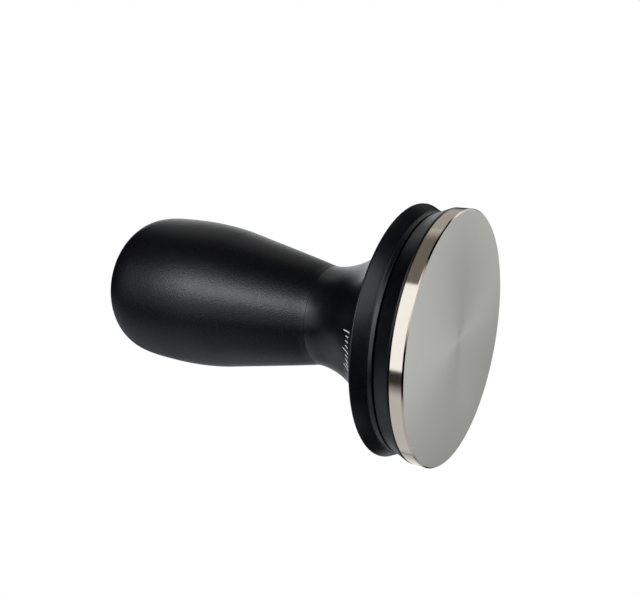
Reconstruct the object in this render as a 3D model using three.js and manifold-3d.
// Calibrated espresso tamper: a steel foot on a black carrier, and a neck and handle that slide down
// a guide post against a preloaded spring until the flange closes on the carrier.
// Millimetres, +Z up the handle, origin at the centre of the tamping face.

import * as THREE from 'three';
import { mergeVertices } from 'three/addons/utils/BufferGeometryUtils.js';
import Module from 'manifold-3d';

const wasm = await Module();
wasm.setup();

// ---- Driving dimensions -------------------------------------------------------------------------

const SEAT = 0.05;             // gap left between two faces that rest on each other
const RUN = 0.06;              // radial running clearance on the guide post
const FIT = 0.1;               // radial clearance round a fixed spigot or thread
const OVER = 1;                // how far a cutting tool runs past the face it cuts
const BIG = 36;                // facets round the large turned pieces
const SMALL = 24;              // facets round the small ones
const TINY = 12;               // facets round a screw

const PLATE_R = 29.175;        // tamping face radius
const PLATE_TOP = 3.1;         // height of the steel at its rim
const PLATE_EDGE = 0.3;        // chamfer round the face
const PLATE_BACK_EDGE = 0.2;
const SPIGOT_R = 12;           // boss that centres the plate in the carrier
const SPIGOT_TOP = 4.1;

const CARRIER_EDGE = [29.2, 3.4];  // radius and height of the black skirt ring's widest edge
const CARRIER_CURVE = [[28.75, 4.6], [28.2, 6]];   // where its hollow side curves towards
const CARRIER_TOP = 6.9;
const CARRIER_TOP_R = 27.9;
const HUB_R = 10.5;
const HUB_TOP = 11.5;
const HUB_EDGE = 0.4;

const PRESS_GAP = 0.5;         // groove between skirt ring and flange, which closes in use
const FLANGE_BOTTOM = CARRIER_TOP + PRESS_GAP;
const FLANGE_SIDE = [[27.88, FLANGE_BOTTOM], [28, 8.75], [28.7, 10]];   // radius and height, below the rim
const RIM_R = 29.5;            // widest edge of the flange
const RIM_Z = 11.55;
const RIM_LAND = 0.2;          // height of the straight edge of the rim

const SCREW_COUNT = 3;
const SCREW_CIRCLE_R = 20;
const SCREW_R = 1.5;
const SCREW_HEAD_R = 2.8;
const SCREW_HEAD_H = 1.65;
const SCREW_HEAD_EDGE = 0.25;  // straight edge of the countersunk head
const SCREW_TOP = CARRIER_TOP - 0.15;
const SCREW_KEY = 2;           // hexagon socket, across its flats
const SCREW_SOCKET_DEPTH = 1;
const SCREW_TIP = 1.5;
const SCREW_CLEARANCE = 0.15;
const TAP_BOTTOM = 1.2;

const POST_R = 4;
const POST_BOTTOM = SPIGOT_TOP + 0.25;
const SHOULDER_R = 6.5;
const SHOULDER_T = 1.2;
const SHOULDER_TOP = HUB_TOP + SEAT + SHOULDER_T;
const SHOULDER_FLATS = 11;     // across the spanner flats
const POST_STEP = 31.2;        // the post narrows here to its top thread
const POST_THREAD_R = 3;
const POST_TOP = 40;
const POST_EDGE = 0.5;         // chamfer at both ends

const NECK_R = 12.5;           // narrowest place, where neck and handle meet
const NECK_CURVE = [[13.3, 17.9], [NECK_R, 31]];
const SEAM_Z = 33.5;
const SEAM_EDGE = 0.15;        // chamfer on both sides of the seam
const MOUTH_R = 11;            // counterbore over the hub and post shoulder
const MOUTH_TOP = 14.3;
const BUSH_BORE_R = 6;
const CHAMBER_R = 8.4;         // spring chamber through the neck's top and the handle
const CHAMBER_BOTTOM = 30;
const CHAMBER_TOP = 81;
const THREAD_R = 10.4;         // spigot on the neck that the handle screws on to
const THREAD_TOP = 46;
const RING_GROOVE_R = 9.35;
const RING_GROOVE_BOTTOM = 34.4;
const RING_GROOVE_TOP = 36.1;
const RING_WIRE_R = 0.5;

const NUT_FLATS = 10;
const WIRE_R = 1;
const COIL_R = 6.2;
const ACTIVE_TURNS = 8;
const SEAT_PIECE_R = 8;        // radius of stop washer and spring seats

const HANDLE_R = 20.1;         // widest place of the handle
const HANDLE_WIDEST_Z = 79;
const CONE_START = [NECK_R + 0.1, 34.6];   // radius and height where the straight cone begins
const HANDLE_CONE = [18.35, 61];   // and where it ends
const HANDLE_CURVE = [[19.3, 65.4], [HANDLE_R, 71.5]];
const HANDLE_TOP = 96.8;
const DOME_CURVE = [[HANDLE_R, 94.3], [20, HANDLE_TOP]];

// ---- Materials ----------------------------------------------------------------------------------

const finish = (color, roughness, metalness) =>
  new THREE.MeshStandardMaterial({ color, roughness, metalness });

const polishedSteel = finish(0xc9c7c0, 0.16, 1.0);
const machinedSteel = finish(0x9c9c9a, 0.35, 1.0);
const springSteel = finish(0x77787a, 0.4, 1.0);
const satinBlack = finish(0x161617, 0.38, 0.4);
const powderBlack = finish(0x1c1c1d, 0.62, 0.1);
const bronze = finish(0xb08a4a, 0.4, 1.0);
const rubber = finish(0x141414, 0.85, 0.0);
const nylon = finish(0xdcd9cf, 0.55, 0.0);

// ---- Helpers ------------------------------------------------------------------------------------

const tamper = new THREE.Group();

function add(name, geometry, material) {
  const mesh = new THREE.Mesh(geometry, material);
  mesh.name = name;
  tamper.add(mesh);
  return mesh;
}

// A turned piece from its half outline, given as radius and height, running up the outside.
function turned(outline, facets) {
  const points = outline.map((p) => (Array.isArray(p) ? new THREE.Vector2(...p) : p));
  return new THREE.LatheGeometry(points, facets).rotateX(Math.PI / 2);
}

// A plain ring, with an optional chamfer on its outer edges.
function ring(inner, outer, bottom, top, facets, chamfer = 0) {
  const outside = chamfer
    ? [[outer - chamfer, bottom], [outer, bottom + chamfer], [outer, top - chamfer],
      [outer - chamfer, top]]
    : [[outer, bottom], [outer, top]];
  return turned([[inner, bottom], ...outside, [inner, top], [inner, bottom]], facets);
}

// A rubber ring of round section.
function roundRing(meanR, wireR, z, facets) {
  const sides = 8;
  const outline = [];
  for (let i = 0; i <= sides; i++) {
    const a = (2 * Math.PI * i) / sides;
    outline.push([meanR + wireR * Math.cos(a), z + wireR * Math.sin(a)]);
  }
  return turned(outline, facets);
}

// A prism or cylinder standing on Z between two heights.
function post(radius, bottom, top, sides) {
  return new THREE.CylinderGeometry(radius, radius, top - bottom, sides)
    .rotateX(Math.PI / 2)
    .translate(0, 0, (bottom + top) / 2);
}

// Points along a cubic curve, without its first point.
function curve(start, pull1, pull2, end, steps) {
  const points = [start, pull1, pull2, end].map((p) => new THREE.Vector2(...p));
  return new THREE.CubicBezierCurve(...points).getPoints(steps).slice(1);
}

function toManifold(geometry) {
  const bare = geometry.clone();
  bare.deleteAttribute('normal');
  bare.deleteAttribute('uv');
  const merged = mergeVertices(bare, 1e-4);
  const corners = [];
  const index = merged.index.array;
  for (let i = 0; i < index.length; i += 3) {
    const [a, b, c] = [index[i], index[i + 1], index[i + 2]];
    if (a !== b && b !== c && c !== a) corners.push(a, b, c);
  }
  return new wasm.Manifold(new wasm.Mesh({
    numProp: 3,
    vertProperties: new Float32Array(merged.attributes.position.array),
    triVerts: new Uint32Array(corners),
  }));
}

function fromManifold(body) {
  const mesh = body.getMesh();
  const places = new THREE.BufferAttribute(new Float32Array(mesh.vertProperties), 3);
  const corners = new THREE.BufferAttribute(new Uint32Array(mesh.triVerts), 1);
  return new THREE.BufferGeometry().setAttribute('position', places).setIndex(corners);
}

function cut(geometry, tools) {
  const subtract = (body, tool) => body.subtract(toManifold(tool));
  return fromManifold(tools.reduce(subtract, toManifold(geometry)));
}

const hexCorner = (flats) => flats / 2 / Math.cos(Math.PI / 6);

// ---- Foot: plate, carrier and their screws --------------------------------------------------------

const screwAngles = Array.from({ length: SCREW_COUNT }, (_, i) => (2 * Math.PI * i) / SCREW_COUNT);
const onScrewCircle = (geometry, angle) =>
  geometry.translate(SCREW_CIRCLE_R * Math.cos(angle), SCREW_CIRCLE_R * Math.sin(angle), 0);

function basePlate() {
  const blank = turned([
    [0, 0], [PLATE_R - PLATE_EDGE, 0], [PLATE_R, PLATE_EDGE],
    [PLATE_R, PLATE_TOP - PLATE_BACK_EDGE], [PLATE_R - PLATE_BACK_EDGE, PLATE_TOP],
    [SPIGOT_R, PLATE_TOP], [SPIGOT_R, SPIGOT_TOP], [0, SPIGOT_TOP],
  ], BIG);
  const hole = () => post(SCREW_R + FIT, TAP_BOTTOM, PLATE_TOP + OVER, TINY);
  return cut(blank, screwAngles.map((a) => onScrewCircle(hole(), a)));
}

const CARRIER_BOTTOM = PLATE_TOP + SEAT;
const GROOVE_R = 25.2;         // closing bumper's groove in the carrier's top face
const GROOVE_HALF = 0.9;
const GROOVE_DEPTH = 1.55;

function baseCarrier() {
  const recessR = SPIGOT_R + FIT;
  const recessTop = SPIGOT_TOP + SEAT;
  const boreR = POST_R + RUN;
  const blank = turned([
    [recessR, CARRIER_BOTTOM],
    [CARRIER_EDGE[0] - 0.25, CARRIER_BOTTOM], CARRIER_EDGE,
    ...curve(CARRIER_EDGE, ...CARRIER_CURVE, [CARRIER_TOP_R, CARRIER_TOP], 5),
    [GROOVE_R + GROOVE_HALF, CARRIER_TOP], [GROOVE_R + GROOVE_HALF, CARRIER_TOP - GROOVE_DEPTH],
    [GROOVE_R - GROOVE_HALF, CARRIER_TOP - GROOVE_DEPTH], [GROOVE_R - GROOVE_HALF, CARRIER_TOP],
    [HUB_R, CARRIER_TOP], [HUB_R, HUB_TOP - HUB_EDGE], [HUB_R - HUB_EDGE, HUB_TOP],
    [boreR, HUB_TOP], [boreR, recessTop], [recessR, recessTop], [recessR, CARRIER_BOTTOM],
  ], BIG);
  const shankR = SCREW_R + SCREW_CLEARANCE;
  const headR = SCREW_HEAD_R + SCREW_CLEARANCE;
  const hole = () => turned([
    [0, CARRIER_BOTTOM - OVER], [shankR, CARRIER_BOTTOM - OVER], [shankR, SCREW_TOP - SCREW_HEAD_H],
    [headR, SCREW_TOP - SCREW_HEAD_EDGE], [headR, CARRIER_TOP + OVER], [0, CARRIER_TOP + OVER],
  ], TINY);
  return cut(blank, screwAngles.map((a) => onScrewCircle(hole(), a)));
}

function plateScrew(angle) {
  const body = turned([
    [0, SCREW_TIP], [SCREW_R - 0.3, SCREW_TIP], [SCREW_R, SCREW_TIP + 0.3],
    [SCREW_R, SCREW_TOP - SCREW_HEAD_H], [SCREW_HEAD_R, SCREW_TOP - SCREW_HEAD_EDGE],
    [SCREW_HEAD_R, SCREW_TOP], [0, SCREW_TOP],
  ], TINY);
  const socket = post(hexCorner(SCREW_KEY), SCREW_TOP - SCREW_SOCKET_DEPTH, SCREW_TOP + OVER, 6);
  return onScrewCircle(cut(body, [socket]), angle);
}

add('base_plate', basePlate(), polishedSteel);
add('base_carrier', baseCarrier(), satinBlack);
screwAngles.forEach((angle, i) => add(`plate_screw_${i + 1}`, plateScrew(angle), machinedSteel));
add('closing_bumper', roundRing(GROOVE_R, 0.78, CARRIER_TOP - 0.75, BIG), rubber);

// ---- Guide post and its stop ----------------------------------------------------------------------

function guidePost() {
  const blank = turned([
    [0, POST_BOTTOM], [POST_R - POST_EDGE, POST_BOTTOM], [POST_R, POST_BOTTOM + POST_EDGE],
    [POST_R, HUB_TOP + SEAT], [SHOULDER_R, HUB_TOP + SEAT], [SHOULDER_R, SHOULDER_TOP],
    [POST_R, SHOULDER_TOP], [POST_R, POST_STEP], [POST_THREAD_R, POST_STEP],
    [POST_THREAD_R, POST_TOP - POST_EDGE], [POST_THREAD_R - POST_EDGE, POST_TOP], [0, POST_TOP],
  ], SMALL);
  const spannerFlat = (side) => new THREE.BoxGeometry(4, 20, SHOULDER_T + 2 * SEAT)
    .translate(side * (SHOULDER_FLATS / 2 + 2), 0, HUB_TOP + SEAT + SHOULDER_T / 2);
  return cut(blank, [spannerFlat(1), spannerFlat(-1)]);
}

const BUMPER_BOTTOM = CHAMBER_BOTTOM + SEAT;
const WASHER_BOTTOM = POST_STEP + SEAT;
const BUMPER_TOP = WASHER_BOTTOM - SEAT;
const WASHER_TOP = WASHER_BOTTOM + 1.6;
const NUT_BOTTOM = WASHER_TOP + SEAT;
const NUT_HEX_TOP = NUT_BOTTOM + 4.4;
const NUT_TOP = NUT_BOTTOM + 6;
const COLLAR_R = 4.9;          // round collar over the hexagon, which holds the locking insert
const INSERT_R = 4.1;
const INSERT_TOP = NUT_TOP - 0.3;

function stopNut() {
  const corner = hexCorner(NUT_FLATS);
  const rounding = turned([
    [0, NUT_BOTTOM], [corner - 0.7, NUT_BOTTOM], [corner, NUT_BOTTOM + 0.5], [corner, NUT_HEX_TOP - 0.5],
    [corner - 0.7, NUT_HEX_TOP], [0, NUT_HEX_TOP],
  ], SMALL);
  const hexagon = toManifold(post(corner, NUT_BOTTOM - OVER, NUT_HEX_TOP + OVER, 6));
  const collar = turned([
    [0, NUT_HEX_TOP - 1], [COLLAR_R, NUT_HEX_TOP - 1], [COLLAR_R, NUT_TOP - 0.6],
    [COLLAR_R - 0.4, NUT_TOP], [0, NUT_TOP],
  ], SMALL);
  const bore = post(POST_THREAD_R + RUN, NUT_BOTTOM - OVER, NUT_TOP + OVER, SMALL);
  const recess = post(INSERT_R + RUN, NUT_HEX_TOP, NUT_TOP + OVER, SMALL);
  const body = hexagon.intersect(toManifold(rounding)).add(toManifold(collar));
  return fromManifold(body.subtract(toManifold(bore)).subtract(toManifold(recess)));
}

add('guide_post', guidePost(), machinedSteel);
const threadHoleR = POST_THREAD_R + RUN;
add('stop_washer', ring(threadHoleR, SEAT_PIECE_R, WASHER_BOTTOM, WASHER_TOP, SMALL, 0.2), machinedSteel);
add('stop_nut', stopNut(), machinedSteel);
add('nut_lock_insert', ring(threadHoleR, INSERT_R, NUT_HEX_TOP + SEAT, INSERT_TOP, SMALL), nylon);

// ---- Spring and lower seat ------------------------------------------------------------------------

const THRUST_BOTTOM = NUT_TOP + SEAT;
const THRUST_TOP = THRUST_BOTTOM + 0.8;
const TIP_POCKET_R = POST_THREAD_R + 0.4;
const LOWER_SEAT_BOTTOM = THRUST_TOP + SEAT;
const TIP_POCKET_TOP = POST_TOP + 0.6;
const LOWER_SEAT_FACE = 42.3;
const UPPER_SEAT_FACE = 78.05;
const SEAT_SPIGOT_R = 5;
const SEAT_SPIGOT_H = 2.4;
const SEAT_SPIGOT_EDGE = 0.6;
const LOWER_SPIGOT_TOP = LOWER_SEAT_FACE + SEAT_SPIGOT_H;
const UPPER_SPIGOT_BOTTOM = UPPER_SEAT_FACE - SEAT_SPIGOT_H;

add('thrust_washer', ring(TIP_POCKET_R, 7.4, THRUST_BOTTOM, THRUST_TOP, SMALL), nylon);
add('lower_spring_seat', turned([
  [0, TIP_POCKET_TOP], [TIP_POCKET_R, TIP_POCKET_TOP], [TIP_POCKET_R, LOWER_SEAT_BOTTOM],
  [SEAT_PIECE_R, LOWER_SEAT_BOTTOM], [SEAT_PIECE_R, LOWER_SEAT_FACE], [SEAT_SPIGOT_R, LOWER_SEAT_FACE],
  [SEAT_SPIGOT_R, LOWER_SPIGOT_TOP - SEAT_SPIGOT_EDGE], [SEAT_SPIGOT_R - SEAT_SPIGOT_EDGE, LOWER_SPIGOT_TOP],
  [0, LOWER_SPIGOT_TOP],
], SMALL), machinedSteel);

// One closed turn at each end, and the active turns evenly spaced between them.
class SpringCurve extends THREE.Curve {
  getPoint(t, target = new THREE.Vector3()) {
    const closedRise = 2 * WIRE_R + 0.1;
    const bottom = LOWER_SEAT_FACE + SEAT + WIRE_R;
    const top = UPPER_SEAT_FACE - SEAT - WIRE_R;
    const activeRise = top - bottom - 2 * closedRise;
    const turn = t * (ACTIVE_TURNS + 2);
    const low = Math.min(turn, 1);
    const high = Math.max(turn - 1 - ACTIVE_TURNS, 0);
    const active = turn - low - high;
    const z = bottom + (low + high) * closedRise + (active / ACTIVE_TURNS) * activeRise;
    const angle = 2 * Math.PI * turn;
    return target.set(COIL_R * Math.cos(angle), COIL_R * Math.sin(angle), z);
  }
}

const WIRE_SIDES = 6;
const STEPS_PER_TURN = 12;
const wireSection = new THREE.Shape(Array.from({ length: WIRE_SIDES }, (_, i) => {
  const a = (2 * Math.PI * i) / WIRE_SIDES;
  return new THREE.Vector2(WIRE_R * Math.cos(a), WIRE_R * Math.sin(a));
}));
add('main_spring', new THREE.ExtrudeGeometry(wireSection, {
  steps: (ACTIVE_TURNS + 2) * STEPS_PER_TURN,
  extrudePath: new SpringCurve(),
}), springSteel);

// ---- Neck and what slides with it -----------------------------------------------------------------

function neckBell() {
  const flareStart = [RIM_R - 0.15, RIM_Z + 0.2];
  return turned([
    [MOUTH_R, FLANGE_BOTTOM], ...FLANGE_SIDE, [RIM_R, RIM_Z - RIM_LAND], [RIM_R, RIM_Z], flareStart,
    ...curve(flareStart, ...NECK_CURVE, [NECK_R, SEAM_Z - SEAM_EDGE], 12),
    [NECK_R - SEAM_EDGE, SEAM_Z],
    [THREAD_R, SEAM_Z], [THREAD_R, RING_GROOVE_BOTTOM], [RING_GROOVE_R, RING_GROOVE_BOTTOM],
    [RING_GROOVE_R, RING_GROOVE_TOP], [THREAD_R, RING_GROOVE_TOP],
    [THREAD_R, THREAD_TOP - 0.6], [THREAD_R - 0.6, THREAD_TOP],
    [CHAMBER_R, THREAD_TOP], [CHAMBER_R, CHAMBER_BOTTOM], [BUSH_BORE_R, CHAMBER_BOTTOM],
    [BUSH_BORE_R, MOUTH_TOP], [MOUTH_R, MOUTH_TOP], [MOUTH_R, FLANGE_BOTTOM],
  ], BIG);
}

const WIPER_BOTTOM = MOUTH_TOP + 0.2;
const WIPER_TOP = WIPER_BOTTOM + 1.6;
const BUSH_LENGTH = 5.6;
const bush = (bottom) =>
  ring(POST_R + RUN, BUSH_BORE_R - SEAT, bottom, bottom + BUSH_LENGTH, SMALL, 0.3);

add('neck_bell', neckBell(), satinBlack);
add('wiper_ring', ring(POST_R + RUN, BUSH_BORE_R - SEAT, WIPER_BOTTOM, WIPER_TOP, SMALL), rubber);
add('lower_bush', bush(WIPER_TOP + 0.1), bronze);
add('upper_bush', bush(CHAMBER_BOTTOM - 0.2 - BUSH_LENGTH), bronze);
add('return_bumper', ring(POST_R + 0.3, SEAT_PIECE_R, BUMPER_BOTTOM, BUMPER_TOP, SMALL, 0.2), rubber);
const ringMeanR = RING_GROOVE_R + SEAT + RING_WIRE_R;
const ringGrooveMiddle = (RING_GROOVE_BOTTOM + RING_GROOVE_TOP) / 2;
add('thread_o_ring', roundRing(ringMeanR, RING_WIRE_R, ringGrooveMiddle, BIG), rubber);

// ---- Handle ---------------------------------------------------------------------------------------

function handleShell() {
  const bottom = SEAM_Z + SEAT;
  const socketR = THREAD_R + FIT;
  const socketTop = THREAD_TOP + 0.3;
  const widest = [HANDLE_R, HANDLE_WIDEST_Z];
  return turned([
    [socketR, bottom], [NECK_R - SEAM_EDGE, bottom], [NECK_R, bottom + SEAM_EDGE], CONE_START,
    HANDLE_CONE,
    ...curve(HANDLE_CONE, ...HANDLE_CURVE, widest, 5),
    ...curve(widest, ...DOME_CURVE, [0, HANDLE_TOP], 10),
    [0, CHAMBER_TOP], [CHAMBER_R, CHAMBER_TOP], [CHAMBER_R, socketTop],
    [socketR, socketTop], [socketR, bottom],
  ], BIG);
}

const SHIM_T = 0.3;
const SHIM_COUNT = 2;
const upperSeatTop = CHAMBER_TOP - SHIM_COUNT * (SHIM_T + SEAT) - SEAT;

add('handle_shell', handleShell(), powderBlack);
for (let i = 1; i <= SHIM_COUNT; i++) {
  const top = CHAMBER_TOP - SEAT - (i - 1) * (SHIM_T + SEAT);
  add(`preload_shim_${i}`, ring(2.5, SEAT_PIECE_R, top - SHIM_T, top, SMALL), machinedSteel);
}
add('upper_spring_seat', turned([
  [0, UPPER_SPIGOT_BOTTOM], [SEAT_SPIGOT_R - SEAT_SPIGOT_EDGE, UPPER_SPIGOT_BOTTOM],
  [SEAT_SPIGOT_R, UPPER_SPIGOT_BOTTOM + SEAT_SPIGOT_EDGE], [SEAT_SPIGOT_R, UPPER_SEAT_FACE],
  [SEAT_PIECE_R, UPPER_SEAT_FACE], [SEAT_PIECE_R, upperSeatTop], [0, upperSeatTop],
], SMALL), machinedSteel);

export default tamper;
